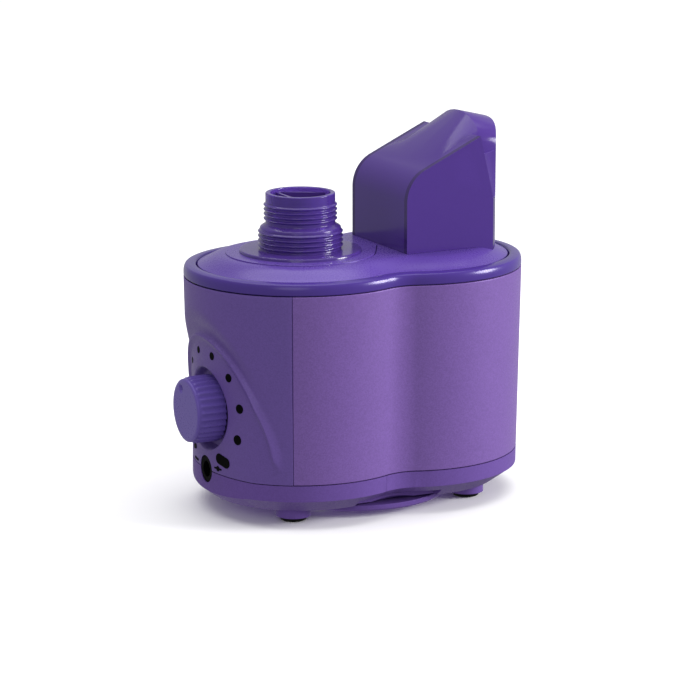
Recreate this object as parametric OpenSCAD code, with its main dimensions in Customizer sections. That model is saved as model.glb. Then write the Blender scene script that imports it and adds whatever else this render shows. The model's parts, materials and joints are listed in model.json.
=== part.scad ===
// Travel humidifier that takes its water from an upturned drinks bottle.
// +X runs along the body away from the dial, +Z is up, and the feet stand on Z = 0.
// Modules are drawn about the middle of the body, and in_frame() moves them to the part's origin,
// which is the middle of the whole outline, dial included.

/* [Body] */
// Length of the body over its two round ends
body_l = 130; // [120:1:156]
// Radius of each round end
lobe_r = 43; // [38:0.5:52]
// Radius of the hollow at each side of the waist
waist_r = 16; // [12:1:30]
// Wall of the outer shells
wall = 2.2; // [1.8:0.1:3]
// How far the side wall leans in from the lid seam down to the bottom seam
wall_lean = 1.2; // [0.4:0.1:2]
// Height of the seam between lid and body
lid_seam_z = 86.2; // [80:0.2:104]
// Height of the seam between body and base tray
base_seam_z = 16.7; // [15:0.1:20]
// Height where the base tray starts to curve in
base_edge_z = 10.8; // [10:0.1:12]
// Height of the underside of the base tray
base_z = 5.5; // [5:0.1:6.5]
// How far the base tray curves in to its underside
base_inset = 8.6; // [6:0.1:10]
// Visible gap of the seams
seam = 0.25; // [0.15:0.05:0.4]
// Angle of the front panel to each side of the dial
panel_angle = 60; // [56:1:66]

/* [Lid] */
// Height of the rounded lid rim
rim_h = 4.8; // [4:0.1:6.5]
// Width of the lid rim seen from above
rim_w = 5; // [4:0.1:7]
// Height of the crown of the top cover
crown_h = 3.2; // [2:0.1:4]
// Width of the sloped edge of the crown
crown_w = 10; // [7:0.5:12]
// Thickness of the top cover
cover_t = 2.4; // [2:0.1:3]
// Radius of the round end of the neck plate
plate_r = 27.5; // [26:0.5:30]
// Radius of the neck plate's narrow end
plate_tail_r = 4; // [3:0.5:6]
// Distance from the neck to the centre of the plate's narrow end
plate_tail_x = 27; // [26:0.5:28]
// Thickness of the neck plate
plate_t = 1.2; // [1:0.1:1.4]

/* [Bottle neck] */
// Radius of the neck's upper tier, under the ridges
neck_r = 12.8; // [12:0.1:14]
// Height of the upper tier
neck_h = 11.3; // [9:0.1:14]
// Radius of the lower tier, under the ridges
collar_r = 14.9; // [14.5:0.1:17]
// Height of the lower tier
collar_h = 9.4; // [8:0.1:12]
// How far each thread ridge stands out
ridge_h = 0.7; // [0.4:0.1:1]
// Distance from one ridge to the next
ridge_pitch = 1.7; // [1.5:0.1:2.2]
// Ridges on each tier
ridge_count = 4; // [2:1:5]
// Wall of the neck
neck_wall = 1.8; // [1.4:0.1:2.2]
// Radius of the flange under the neck
flange_r = 22.5; // [20:0.5:24]
// Radius of the valve opening at the foot of the neck
valve_hole_r = 5.5; // [4:0.1:7]
// Radius of the valve stem
valve_stem_r = 2; // [1.6:0.1:2.6]

/* [Mist hood] */
// Width of the hood
hood_w = 44; // [38:1:46]
// Place of the hood's back wall along the body
hood_back_x = 10.5; // [10:0.5:14]
// Radius of the hood's front end, about the centre of the round end
hood_end_r = 33; // [31:0.5:34]
// Height where the back wall starts to round over
hood_wall_z = 113; // [108:0.5:126]
// Radius of the rounded back of the hood
hood_round_r = 13; // [10:0.5:15]
// Slope of the roof
roof_angle = 25; // [20:1:28]
// Place along the body where the edge of the roof ends
roof_end_x = 41; // [38:0.5:43]
// Height of the top of the mist outlet
hood_top_z = 142.5; // [136:0.5:158]
// Wall of the hood
hood_wall = 2; // [1.6:0.1:2.6]
// Width of the mist outlet
outlet_w = 30; // [24:1:32]
// Height of the lower lip of the mist outlet
outlet_z = 112; // [106:1:126]

/* [Dial] */
// Height of the dial's centre
dial_z = 39.6; // [37:0.2:44]
// Radius of the knob at its grip
knob_r = 12.3; // [11:0.1:13]
// Length of the knob
knob_l = 11.2; // [8:0.1:13]
// Grip ribs round the knob
knob_ribs = 30; // [20:1:36]
// How far the knob stands past the end of the body
knob_proud = 3.8; // [1:0.1:5]
// Depth of the flat dial face below the end of the body
face_depth = 4; // [3:0.1:5]
// Radius of the hollow that the knob sits in
dish_r = 14.2; // [13.6:0.1:15]
// Half width of the arched dial face at its foot
arch_w = 34; // [30:0.5:36]
// Height of the arched dial face
arch_top_z = 68.5; // [64:0.5:72]
// Radius of the ring of dial marks
mark_ring_r = 21.5; // [18:0.5:22]
// Dial marks between the two end marks
mark_count = 8; // [5:1:9]
// Angle from straight down to each end mark
end_mark_angle = 37; // [35:1:50]

/* [Power inlet] */
// Radius of the inlet's collar
jack_r = 4.9; // [4.5:0.1:5.4]
// Radius of the socket for a 5.5 mm plug
jack_bore_r = 2.8; // [2.8:0.05:3]
// Radius of the centre pin for a 2.1 mm plug
jack_pin_r = 1; // [0.9:0.05:1.2]
// Depth of the socket in front of the pin
jack_mouth = 3; // [2:0.5:4]

/* [Inside] */
// Height of the floor of the water basin
basin_floor_z = 58; // [58:0.5:62]
// Gap between the basin and the outer wall
basin_gap = 3.2; // [3:0.1:5]
// Radius of the mist-making disc
disc_r = 10; // [8:0.5:12]
// Thickness of the mist-making disc
disc_t = 1.3; // [1:0.1:2]
// Outer radius of the mist duct
duct_r = 15; // [14:0.5:17]
// Width of the square fan
fan_w = 40; // [35:1:42]
// Depth of the fan
fan_d = 10; // [9:0.5:12]
// Blades on the fan
fan_blades = 7; // [5:1:9]
// Radius of the fan's hub
hub_r = 9; // [8:0.5:11]
// Radial clearance of turning and sliding pins
run_gap = 0.06; // [0.03:0.01:0.09]
// How far the float rises
float_travel = 8; // [5:0.5:9]
// Outer radius of the float
float_r = 7; // [5:0.5:8]

/* [Feet and fixings] */
// Radius of a rubber foot
foot_r = 4.9; // [4:0.1:5.4]
// Distance between feet along the body
foot_span_x = 72; // [68:1:76]
// Distance between feet across the body
foot_span_y = 44; // [42:1:46]
// Radius of the round intake cover
intake_r = 35; // [31:0.5:35]
// Thickness of the intake cover
intake_t = 2.4; // [2:0.1:2.6]
// Radius of the self-tapping screws
screw_r = 1.25; // [1:0.05:1.5]

/* [Hidden] */
$fn = 96;
tiny = 0.05;
clear = 0.3;
air = 0.8;

// Plan of the body: two round ends joined by a hollow at each side.
lobe_x = body_l / 2 - lobe_r;
waist_y = sqrt(pow(lobe_r + waist_r, 2) - pow(lobe_x, 2));
diamond = [[-lobe_x, 0], [0, -waist_y], [lobe_x, 0], [0, waist_y]];
join_step = 0.04;

// Lid heights.
rim_z0 = lid_seam_z + seam;
rim_z1 = lid_seam_z + rim_h;
cover_top_z = rim_z1 + crown_h;
cover_under_z = rim_z1 - cover_t;
crown_flat = rim_w + crown_w;

// Dial face and knob, measured along X.
end_x = -body_l / 2;
face_x = end_x + face_depth;
knob_face_x = end_x - knob_proud;
knob_back_x = knob_face_x + knob_l;
dish_x = knob_back_x + air;
panel_back_x = dish_x + wall;
face_r = lobe_r + 13;
frame_x = (knob_proud) / 2;
mark_step = (360 - 2 * end_mark_angle) / (mark_count + 1);
mark_t = 0.4;
mark_r0 = 0.8;
mark_r_step = 0.13;
jack_mouth_r = jack_bore_r + 0.2;

// Neck heights.
neck_x = -lobe_x;
plate_z = cover_top_z - plate_t + tiny;
flange_top_z = cover_top_z + 1.6;
collar_top_z = flange_top_z + collar_h;
neck_top_z = collar_top_z + neck_h;
neck_floor_z = cover_under_z - 2;
spigot_r = collar_r - 2.3;
valve_head_z = neck_floor_z + 0.92;
valve_tip_z = cover_under_z - 9;
web_z = collar_top_z - 3;

// Inside heights.
basin_rim_z = lid_seam_z - 1.4;
basin_inset = wall + wall_lean + basin_gap;
disc_x = lobe_x + 4;
duct_foot_z = basin_floor_z + 9;
fan_x = lobe_x - 2;
fan_z = 22;
board_z = 33;
board_x = -18.5;
post_x = -2;
post_y = waist_y - waist_r - basin_inset - float_r - 7.1;
post_r = 2.4;
float_h = 8;
post_h = float_h + float_travel + 5;
foot_boss_r = foot_r + 1.6;
foot_boss_z = 1.8;
tube_z = base_z + 10 + clear;
tube_h = 5.6;
tube_r = screw_r * 2 + 1.2;
intake_z = base_z - air - intake_t;
intake_post_r = 3.4;
intake_posts = [[0, 26], [-22, -15], [22, -15]];
case_posts = [for (sx = [-1, 1], sy = [-1, 1]) [sx * foot_span_x / 2, sy * foot_span_y / 2]];
ring_posts = [for (a = [45 : 90 : 315]) [disc_x + 15 * cos(a), 15 * sin(a)]];
board_posts = [for (sx = [-1, 1], sy = [-1, 1]) [board_x + sx * 15, sy * 16]];
fan_hole = fan_w / 2 - 4;
fan_posts = [for (sx = [-1, 1], sy = [-1, 1]) [fan_x + sx * fan_hole, sy * fan_hole]];

// ---- Shared shapes -------------------------------------------------------------------

module in_frame() translate([frame_x, 0, 0]) children();

// A cylinder whose axis runs along +X from x.
module along_x(x, length, r1, r2) {
    translate([x, 0, 0]) rotate([0, 90, 0]) cylinder(h = length, r1 = r1, r2 = r2);
}

// The body's plan, straight up, moved in by inset.
module plan_block(z0, z1, inset) plan_taper(z0, z1, inset, inset);

// The body's plan, moved in by inset0 at z0 and by inset1 at z1.
module plan_taper(z0, z1, inset0, inset1) {
    h = z1 - z0;
    lean = (inset1 - inset0) / h;
    difference() {
        union() {
            for (s = [-1, 1])
                translate([s * lobe_x, 0, z0])
                    cylinder(h = h, r1 = lobe_r - inset0, r2 = lobe_r - inset1);
            translate([0, 0, z0]) linear_extrude(h) polygon(diamond);
        }
        for (s = [-1, 1])
            translate([0, s * waist_y, z0 - tiny])
                cylinder(h = h + 2 * tiny, r1 = waist_r - join_step + inset0 - lean * tiny,
                         r2 = waist_r - join_step + inset1 + lean * tiny);
    }
}

// Side wall between the two seams, with the base tray's lean.
module side_wall() {
    difference() {
        plan_taper(base_seam_z + seam, lid_seam_z, wall_lean, 0);
        plan_taper(base_seam_z, lid_seam_z + tiny, wall_lean + wall, wall);
    }
}

// Wedge that the front panel takes out of the side wall.
module panel_wedge(gap) {
    reach = lobe_r * 2;
    half = panel_angle;
    translate([-lobe_x, 0, base_seam_z - 1])
        linear_extrude(lid_seam_z - base_seam_z + 2)
            polygon([[gap, 0],
                     [gap - reach * cos(half), -reach * sin(half)],
                     [gap - reach * 1.5, 0],
                     [gap - reach * cos(half), reach * sin(half)]]);
}

// Outline of the dial face: half an oval standing on the bottom seam.
function arch_points(grow) = [
    for (a = [0 : 6 : 180])
        [(arch_w + grow) * cos(a),
         base_seam_z + 4 + (arch_top_z + grow - base_seam_z - 4) * sin(a)]
];

module arch_block(grow, depth) {
    foot = base_seam_z - 2;
    translate([end_x - 10, 0, 0]) rotate([90, 0, 90]) linear_extrude(depth)
        polygon(concat([[arch_w + grow, foot]], arch_points(grow), [[-arch_w - grow, foot]]));
}

module face_drum(r) {
    translate([face_x + face_r, 0, 0]) cylinder(h = lid_seam_z, r = r);
}

// Neck plate outline: a round end and a narrow tail, joined by straight sides.
module plate_block(z0, z1, grow) {
    big = plate_r + grow;
    small = plate_tail_r + grow;
    lean = acos((big - small) / plate_tail_x);
    round_end = [for (i = [0 : 60]) let (a = lean + i * (360 - 2 * lean) / 60) [big * cos(a), big * sin(a)]];
    tail = [for (i = [0 : 10]) let (a = -lean + i * 2 * lean / 10)
                [plate_tail_x + small * cos(a), small * sin(a)]];
    translate([neck_x, 0, z0]) linear_extrude(z1 - z0) polygon(concat(round_end, tail));
}

// Side view of the hood, moved in by inset. The front leans back above the outlet's lower lip.
module hood_side(inset) {
    back = hood_back_x + inset;
    r = hood_round_r - inset;
    round_x = hood_back_x + hood_round_r;
    far = lobe_x + hood_end_r + 4;
    start = [round_x - r * sin(roof_angle), hood_wall_z + r * cos(roof_angle)];
    roof_end = [roof_end_x - inset, start[1] + (roof_end_x - inset - start[0]) * tan(roof_angle)];
    corner_x = lobe_x + sqrt(pow(hood_end_r, 2) - pow(hood_w / 2, 2)) - inset;
    arc = [for (a = [180 : -5 : 90 + roof_angle]) [round_x + r * cos(a), hood_wall_z + r * sin(a)]];
    rotate([90, 0, 0]) linear_extrude(hood_w - 2 * inset, center = true)
        polygon(concat([[far, rim_z1], [back, rim_z1]], arc,
                       [roof_end, [corner_x, outlet_z - inset], [far, outlet_z - inset]]));
}

// An upright arch across the hood, from foot_z up to top_z.
module hood_arch(x, half_w, foot_z, spring_z, top_z, length = 0.2) {
    rise = top_z - spring_z;
    translate([x, 0, 0]) rotate([90, 0, 90]) linear_extrude(length)
        polygon(concat([[half_w, foot_z]],
                       [for (a = [0 : 10 : 180]) [half_w * cos(a), spring_z + rise * sin(a)]],
                       [[-half_w, foot_z]]));
}

// The raised scoop over the outlet, and the cheeks beside it, moved in by inset.
module hood_scoop(inset) {
    peak_x = lobe_x + 0.65 * hood_end_r;
    start_x = hood_back_x + hood_round_r - 4;
    front_x = lobe_x + hood_end_r + 1;
    half = outlet_w / 2 + hood_wall - inset;
    start_z = hood_wall_z + hood_round_r - 1 - inset;
    foot_z = outlet_z - 2 - inset;
    spring_z = hood_top_z - 11;
    hull() {
        hood_arch(start_x, hood_w / 2 - 2 - inset, foot_z, start_z - 3, start_z);
        hood_arch(peak_x, half, foot_z, spring_z, hood_top_z - inset);
        hood_arch(front_x, half, foot_z, spring_z - 1, hood_top_z - 3 - inset);
    }
    hull() {
        hood_arch(roof_end_x - 4, hood_w / 2 - inset, foot_z, spring_z - 4 - inset, spring_z - 3 - inset);
        hood_arch(lobe_x + hood_end_r - 4, half, foot_z, spring_z - 2, spring_z - 1);
    }
}

module hood_form(inset) {
    intersection() {
        union() {
            hood_side(inset);
            hood_scoop(inset);
        }
        translate([lobe_x, 0, 0]) cylinder(h = hood_top_z + 10, r = hood_end_r - inset);
    }
}

// A self-tapping screw pointing up, its head's underside at z.
module screw(x, y, z, length) {
    head_h = 1.4;
    translate([x, y, z]) {
        translate([0, 0, -tiny]) cylinder(h = length + tiny, r = screw_r);
        difference() {
            translate([0, 0, -head_h]) cylinder(h = head_h, r = screw_r * 2);
            for (a = [0, 90]) rotate([0, 0, a])
                translate([-screw_r * 1.3, -0.3, -head_h - tiny]) cube([screw_r * 2.6, 0.6, 0.7]);
        }
    }
}

// ---- Base ----------------------------------------------------------------------------

module base_form() {
    plan_taper(base_edge_z, base_seam_z, wall_lean + 0.1, wall_lean);
    plan_taper(base_z, base_edge_z + tiny, base_inset, wall_lean + 0.1);
}

// Everything in front of the dial face's drum, below the bottom seam.
module face_front(r) {
    difference() {
        translate([end_x - 10, -arch_w, 0]) cube([40, 2 * arch_w, base_seam_z + 1]);
        face_drum(r);
    }
}

module base_shell() {
    floor_t = wall;
    difference() {
        base_form();
        plan_taper(base_edge_z - tiny, base_seam_z + tiny, wall_lean + wall, wall_lean + wall);
        plan_taper(base_z + floor_t, base_edge_z, base_inset + wall * 0.6, wall_lean + wall);
    }
}

module base_tray() color([0.45, 0.32, 0.66]) in_frame() {
    difference() {
        union() {
            base_shell();
            // Thicker ground behind the dial face, which runs on down over the tray.
            intersection() {
                base_form();
                face_front(face_r - wall);
            }
            for (p = case_posts) {
                translate([p[0], p[1], foot_boss_z]) cylinder(h = base_z, r = foot_boss_r);
                translate([p[0], p[1], base_z]) cylinder(h = 10, r = screw_r * 2 + 1.6);
            }
            for (p = intake_posts) {
                translate([p[0], p[1], base_z - air]) cylinder(h = 6, r = intake_post_r);
            }
            for (p = board_posts) translate([p[0], p[1], base_z]) cylinder(h = board_z - base_z, r = 2.6);
            for (p = fan_posts) translate([p[0], p[1], base_z]) cylinder(h = fan_z - base_z, r = 2.2);
        }
        face_front(face_r);
        // Recesses for the feet, with the case screws above them.
        for (p = case_posts) {
            translate([p[0], p[1], foot_boss_z - tiny]) cylinder(h = 1.6, r = foot_r + 0.1);
            translate([p[0], p[1], 0]) cylinder(h = 30, r = screw_r + clear);
            translate([p[0], p[1], 0]) cylinder(h = base_z + 4, r = screw_r * 2 + clear);
        }
        for (p = intake_posts) translate([p[0], p[1], 0]) cylinder(h = base_z + 4, r = screw_r);
        for (p = board_posts) translate([p[0], p[1], board_z - 8]) cylinder(h = 9, r = screw_r);
        for (p = fan_posts) translate([p[0], p[1], fan_z - 8]) cylinder(h = 9, r = screw_r);
        // Air inlet under the fan, and a slot at each side of the waist.
        for (i = [-3 : 3])
            translate([fan_x + i * 4.4 - 1.3, -fan_hole + 4.5, base_z - 1])
                cube([2.6, 2 * fan_hole - 9, wall + 2]);
        for (s = [-1, 1])
            translate([0, s * (waist_y - waist_r), base_z + 1.2])
                cube([34, 14, 2 * 1.6], center = true);
        // Half of the power inlet's hole.
        translate([0, 0, base_seam_z]) along_x(end_x - 1, 12, jack_r + clear / 2, jack_r + clear / 2);
    }
}

module rubber_feet() color([0.06, 0.06, 0.07]) in_frame()
    for (p = case_posts) translate([p[0], p[1], 0]) {
        cylinder(h = 0.6, r1 = foot_r - 0.5, r2 = foot_r);
        translate([0, 0, 0.6]) cylinder(h = foot_boss_z + 0.9, r = foot_r);
    }

module intake_cover() color([0.42, 0.3, 0.62]) in_frame() {
    difference() {
        union() {
            translate([0, 0, intake_z]) cylinder(h = 0.8, r1 = intake_r - 0.8, r2 = intake_r);
            translate([0, 0, intake_z + 0.8]) cylinder(h = intake_t - 0.8, r = intake_r);
        }
        for (p = intake_posts) {
            translate([p[0], p[1], 0]) cylinder(h = base_z, r = screw_r + clear);
            translate([p[0], p[1], 0]) cylinder(h = intake_z + 1.5, r = screw_r * 2 + clear);
        }
        for (x = [-3 : 3], s = [-1, 1])
            translate([x * 5 - 1, s * 16 - 8 + (s > 0 ? -2 : 2), intake_z - 1])
                cube([2, abs(x) == 0 ? 9 : 12, intake_t + 2]);
    }
}

module intake_screws() color("silver") in_frame()
    for (p = intake_posts) screw(p[0], p[1], intake_z + 1.5, 5.4);

module case_screws() color("silver") in_frame()
    for (p = case_posts) screw(p[0], p[1], base_z + 4, 11);

// ---- Side walls ----------------------------------------------------------------------

module body_wrap() color([0.5, 0.36, 0.7]) in_frame() {
    difference() {
        side_wall();
        panel_wedge(seam);
    }
    // Tubes that take the case screws, each on a rib from the wall.
    for (p = case_posts) {
        side = sign(p[1]);
        difference() {
            union() {
                translate([p[0], p[1], tube_z]) cylinder(h = tube_h, r = tube_r);
                intersection() {
                    translate([p[0] - 1, side > 0 ? p[1] : p[1] - lobe_r, tube_z]) cube([2, lobe_r, tube_h]);
                    plan_block(base_seam_z + seam, tube_z + tube_h, wall_lean + wall / 2);
                }
            }
            translate([p[0], p[1], tube_z - 1]) cylinder(h = tube_h + 2, r = screw_r);
        }
    }
}

module front_panel() color([0.47, 0.34, 0.68]) in_frame() {
    difference() {
        union() {
            intersection() {
                side_wall();
                panel_wedge(0);
            }
            // Thicker ground behind the sunk dial face.
            intersection() {
                plan_taper(base_seam_z + seam, lid_seam_z, wall_lean, 0);
                arch_block(3, 40);
                difference() {
                    translate([-lobe_x, 0, base_seam_z + seam]) cylinder(h = 60, r = lobe_r);
                    face_drum(face_r - wall);
                }
                panel_wedge(0);
            }
            along_x_at_dial(panel_back_x - wall - 2, wall + 2, dish_r + wall);
        }
        // The arched dial face.
        difference() {
            arch_block(0, 40);
            face_drum(face_r);
        }
        // The hollow for the knob and the hole for the control's bush.
        along_x_at_dial(end_x - 5, dish_x - end_x + 5, dish_r);
        along_x_at_dial(end_x, 40, 3.6);
        translate([0, 0, base_seam_z]) along_x(end_x - 1, 12, jack_r + clear / 2, jack_r + clear / 2);
        dial_mark_solids(clear / 10);
        inlet_mark_solids(clear / 10);
    }
}

module along_x_at_dial(x, length, r) translate([0, 0, dial_z]) along_x(x, length, r, r);

// The dial face's X where it is y off its middle.
function face_x_at(y) = face_x + face_r - sqrt(pow(face_r, 2) - pow(y, 2));

module face_disc(y, z, r) {
    x = face_x_at(y);
    lean = asin(y / face_r);
    translate([x, y, z]) rotate([0, 0, -lean]) translate([-0.1, 0, 0]) along_x(0, mark_t + 0.1, r, r);
}

// A pill that lies flat on the dial face and leans by tilt.
module face_pill(y, z, length, height, tilt) {
    x = face_x_at(y);
    lean = asin(y / face_r);
    translate([x, y, z]) rotate([0, 0, -lean]) rotate([tilt, 0, 0]) {
        translate([-0.1, -(length - height) / 2, -height / 2])
            cube([mark_t + 0.1, length - height, height]);
        for (s = [-1, 1])
            translate([-0.1, s * (length - height) / 2, 0]) along_x(0, mark_t + 0.1, height / 2, height / 2);
    }
}

// Dots that grow from the off end to the full end.
module dial_mark_solids(grow) {
    for (i = [1 : mark_count]) {
        a = -90 - end_mark_angle - i * mark_step;
        face_disc(-mark_ring_r * cos(a), dial_z + mark_ring_r * sin(a), mark_r0 + mark_r_step * i + grow);
    }
}

module dial_marks() color("black") in_frame() dial_mark_solids(0);

// End marks of the dial and the two plain marks beside the inlet.
module inlet_mark_solids(grow) {
    end_y = mark_ring_r * sin(end_mark_angle) * 0.94;
    end_z = dial_z - mark_ring_r * cos(end_mark_angle);
    face_pill(-end_y, end_z, 8 + grow, 4 + grow, 12);
    face_pill(end_y, end_z, 4.5 + grow, 2 + grow, -12);
    face_pill(10, base_seam_z + 1.5, 5 + grow, 0.9 + grow, 0);
    face_pill(-9.2, base_seam_z + 2.2, 4.6 + grow, 0.7 + grow, 0);
    face_disc(-9.2, base_seam_z + 2.2, 1 + grow);
}

module inlet_marks() color("black") in_frame() inlet_mark_solids(0);

// ---- Lid -----------------------------------------------------------------------------

module lid_rim() color([0.27, 0.17, 0.55]) in_frame() {
    soft = 2.2;
    difference() {
        union() {
            plan_block(rim_z0, rim_z1 - soft, 0);
            plan_taper(rim_z1 - soft - tiny, rim_z1 - soft * 0.4, 0, soft * 0.35);
            plan_taper(rim_z1 - soft * 0.4 - tiny, rim_z1, soft * 0.35, soft);
            // Skirt that drops inside the body and stops the lid sliding off.
            plan_block(lid_seam_z - 1, rim_z0 + tiny, wall + clear);
        }
        plan_block(lid_seam_z - 2, rim_z1 + tiny, rim_w + seam / 2 + 1.2);
        plan_block(cover_under_z - 0.02, rim_z1 + tiny, rim_w - seam / 2);
    }
}

module top_cover() color([0.36, 0.24, 0.62]) in_frame() {
    difference() {
        union() {
            plan_block(cover_under_z, rim_z1 - 0.2, rim_w + seam / 2);
            crown(0);
        }
        plan_taper(cover_under_z - tiny, cover_top_z - cover_t, rim_w + cover_t + 1, crown_flat + cover_t);
        // Seat of the neck plate, and the hole under it.
        plate_block(plate_z - clear, cover_top_z + 1, seam);
        translate([neck_x, 0, 0]) cylinder(h = cover_top_z, r = flange_r - 3);
        // Mist way into the hood.
        translate([disc_x, 0, 0]) cylinder(h = cover_top_z + 1, r = duct_r + clear);
        hood_seat(clear / 2);
    }
}

// The crowned upper part of the top cover.
module crown(lift) {
    plan_taper(rim_z1 - 0.2 - tiny + lift, cover_top_z + lift, rim_w + seam / 2, crown_flat);
}

// Foot of the hood that drops into the top cover.
module hood_seat(grow) {
    seat_w = hood_w - 2 * hood_wall - 6;
    translate([hood_back_x + 6 - grow, -seat_w / 2 - grow, cover_top_z - 1.2])
        cube([hood_end_r + lobe_x - hood_back_x - 18 + 2 * grow, seat_w + 2 * grow, 3]);
}

module neck_plate() color([0.33, 0.22, 0.6]) in_frame() {
    difference() {
        plate_block(plate_z, cover_top_z + 0.4, 0);
        translate([neck_x, 0, 0]) cylinder(h = cover_top_z + 2, r = spigot_r + clear);
    }
}

module ridges(r, z) {
    for (i = [0 : ridge_count - 1])
        translate([0, 0, z + i * ridge_pitch]) {
            cylinder(h = ridge_pitch * 0.35, r1 = r - tiny, r2 = r + ridge_h);
            translate([0, 0, ridge_pitch * 0.35 - tiny / 2])
                cylinder(h = ridge_pitch * 0.35, r1 = r + ridge_h, r2 = r - tiny);
        }
}

module bottle_neck() color([0.4, 0.26, 0.72, 0.7]) in_frame() translate([neck_x, 0, 0]) {
    shoulder = collar_r - neck_r;
    difference() {
        union() {
            translate([0, 0, cover_top_z + 0.4]) cylinder(h = 1.2, r1 = flange_r, r2 = flange_r - 1);
            translate([0, 0, cover_top_z + 0.4]) cylinder(h = collar_h + 1.2 - shoulder * 0.6, r = collar_r);
            translate([0, 0, collar_top_z - shoulder * 0.6 - tiny])
                cylinder(h = shoulder * 0.6 + tiny, r1 = collar_r, r2 = neck_r);
            translate([0, 0, collar_top_z - tiny]) cylinder(h = neck_h + tiny, r = neck_r);
            ridges(collar_r, flange_top_z + 0.8);
            ridges(neck_r, collar_top_z + 1.2);
            // Spigot that reaches down through the lid.
            translate([0, 0, neck_floor_z - 2]) cylinder(h = cover_top_z - neck_floor_z + 3, r = spigot_r);
        }
        translate([0, 0, neck_floor_z]) cylinder(h = neck_top_z, r = neck_r - neck_wall);
        cylinder(h = neck_top_z, r = valve_hole_r);
    }
}

// Ring under the flange that keeps water off the lid.
module neck_seal() color([0.75, 0.75, 0.78]) in_frame() translate([neck_x, 0, plate_z - 0.6])
    rotate_extrude() translate([spigot_r + 0.5, 0]) circle(0.45, $fn = 24);

// Guide for the valve stem: a pierced disc with three thin walls in a triangle on top.
module valve_web() color([0.4, 0.26, 0.72]) in_frame() translate([neck_x, 0, 0]) {
    web_r = neck_r - neck_wall - 0.1;
    side = web_r * sin(60);
    difference() {
        union() {
            translate([0, 0, web_z]) cylinder(h = 1.4, r = web_r);
            translate([0, 0, web_z]) cylinder(h = 5, r = valve_stem_r + 1.4);
        }
        translate([0, 0, web_z - 1]) cylinder(h = 8, r = valve_stem_r + run_gap);
        for (a = [0 : 60 : 300]) rotate([0, 0, a]) translate([(web_r + valve_stem_r + 1.4) / 2, 0, web_z - 1])
            cylinder(h = 4, r = 2);
    }
    for (a = [0, 120, 240])
        rotate([0, 0, a]) translate([-web_r / 2 - 0.5, -side + 0.7, web_z + 1.3])
            cube([1, 2 * side - 1.4, neck_top_z - 1 - (a == 120 ? 4 : 0) - web_z - 1.3]);
}

// Head on the neck's floor, a tip that the basin's post meets, and a stem up through the guide.
module valve_stem() color([0.85, 0.85, 0.88]) in_frame() translate([neck_x, 0, 0]) {
    translate([0, 0, valve_head_z]) cylinder(h = 1.6, r = valve_hole_r + 2);
    translate([0, 0, valve_tip_z]) cylinder(h = web_z + 6 - valve_tip_z, r = valve_stem_r);
}

module valve_spring() color("silver") in_frame() translate([neck_x, 0, 0]) {
    spring_r = valve_stem_r + 1.1;
    wire_r = 0.3;
    low = valve_head_z + 1.6 + tiny + wire_r;
    high = web_z - tiny - wire_r;
    turns = 7;
    for (i = [0 : turns - 1])
        translate([0, 0, low + i * (high - low) / (turns - 1)])
            rotate_extrude() translate([spring_r, 0]) circle(wire_r, $fn = 16);
}

module valve_seal() color([0.1, 0.1, 0.1]) in_frame() translate([neck_x, 0, valve_head_z - 0.47])
    rotate_extrude() translate([valve_hole_r + 1, 0]) circle(0.44, $fn = 24);

module mist_hood() color([0.34, 0.22, 0.66, 0.7]) in_frame() {
    difference() {
        hood_form(0);
        hood_form(hood_wall);
        crown(tiny);
        // Mist outlet at the front end.
        hood_arch(lobe_x + 0.8 * hood_end_r, outlet_w / 2, outlet_z, hood_top_z - 12,
                  hood_top_z - 3 - hood_wall, 20);
    }
    // Foot plate with its spigot.
    difference() {
        intersection() {
            union() {
                translate([hood_back_x + 1, -hood_w / 2 + 1, cover_top_z + 0.1])
                    cube([hood_end_r + lobe_x, hood_w - 2, 1.6]);
                hood_seat(0);
            }
            translate([lobe_x, 0, 0]) cylinder(h = cover_top_z + 10, r = hood_end_r - 1);
        }
        translate([disc_x, 0, 0]) cylinder(h = cover_top_z + 10, r = duct_r + clear);
    }
}

// ---- Dial and inlet ------------------------------------------------------------------

module dial_knob() color([0.5, 0.38, 0.74]) in_frame() translate([0, 0, dial_z]) {
    rib_r = 0.75;
    difference() {
        union() {
            along_x(knob_face_x, 1.2, knob_r - 1.8, knob_r - 0.8);
            along_x(knob_face_x + 1.2 - tiny, knob_l - 1.2 + tiny, knob_r - 0.8, knob_r - 0.3);
            for (i = [0 : knob_ribs - 1])
                rotate([i * 360 / knob_ribs, 0, 0]) translate([0, 0, knob_r - 0.75])
                    along_x(knob_face_x + 1.6, knob_l - 1.6, rib_r * 0.8, rib_r);
        }
        // Pointer dimple, turned a little towards the off mark.
        rotate([-27, 0, 0]) translate([0, 0, knob_r - 4])
            translate([knob_face_x - 0.6, 0, 0]) sphere(r = 1.5, $fn = 32);
        // Hollow back, with a boss for the shaft.
        difference() {
            along_x(knob_face_x + 2.4, knob_l, knob_r - 3, knob_r - 3);
            along_x(knob_face_x + 2, knob_l - 2.6, 4.6, 4.6);
        }
        along_x(knob_face_x + 3, knob_l, 3, 3);
    }
}

// Shaft of the control, a press fit in the knob.
module pot_shaft() color("silver") in_frame() translate([0, 0, dial_z])
    along_x(knob_face_x + 3.1, panel_back_x + 5 - knob_face_x - 3.1, 2.9, 2.9);

module pot_body() color([0.25, 0.3, 0.35]) in_frame() translate([0, 0, dial_z]) {
    bush_x = dish_x - 0.6;
    difference() {
        union() {
            along_x(bush_x, panel_back_x - bush_x + tiny, 3.5, 3.5);
            along_x(panel_back_x, 7, 8.2, 8.2);
        }
        along_x(bush_x - 1, panel_back_x + 5.2 - bush_x + 1, 2.9 + run_gap, 2.9 + run_gap);
    }
    // Three solder legs.
    for (y = [-5, 0, 5]) translate([panel_back_x + 2, y - 0.5, -13]) cube([0.8, 1, 6]);
}

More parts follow.
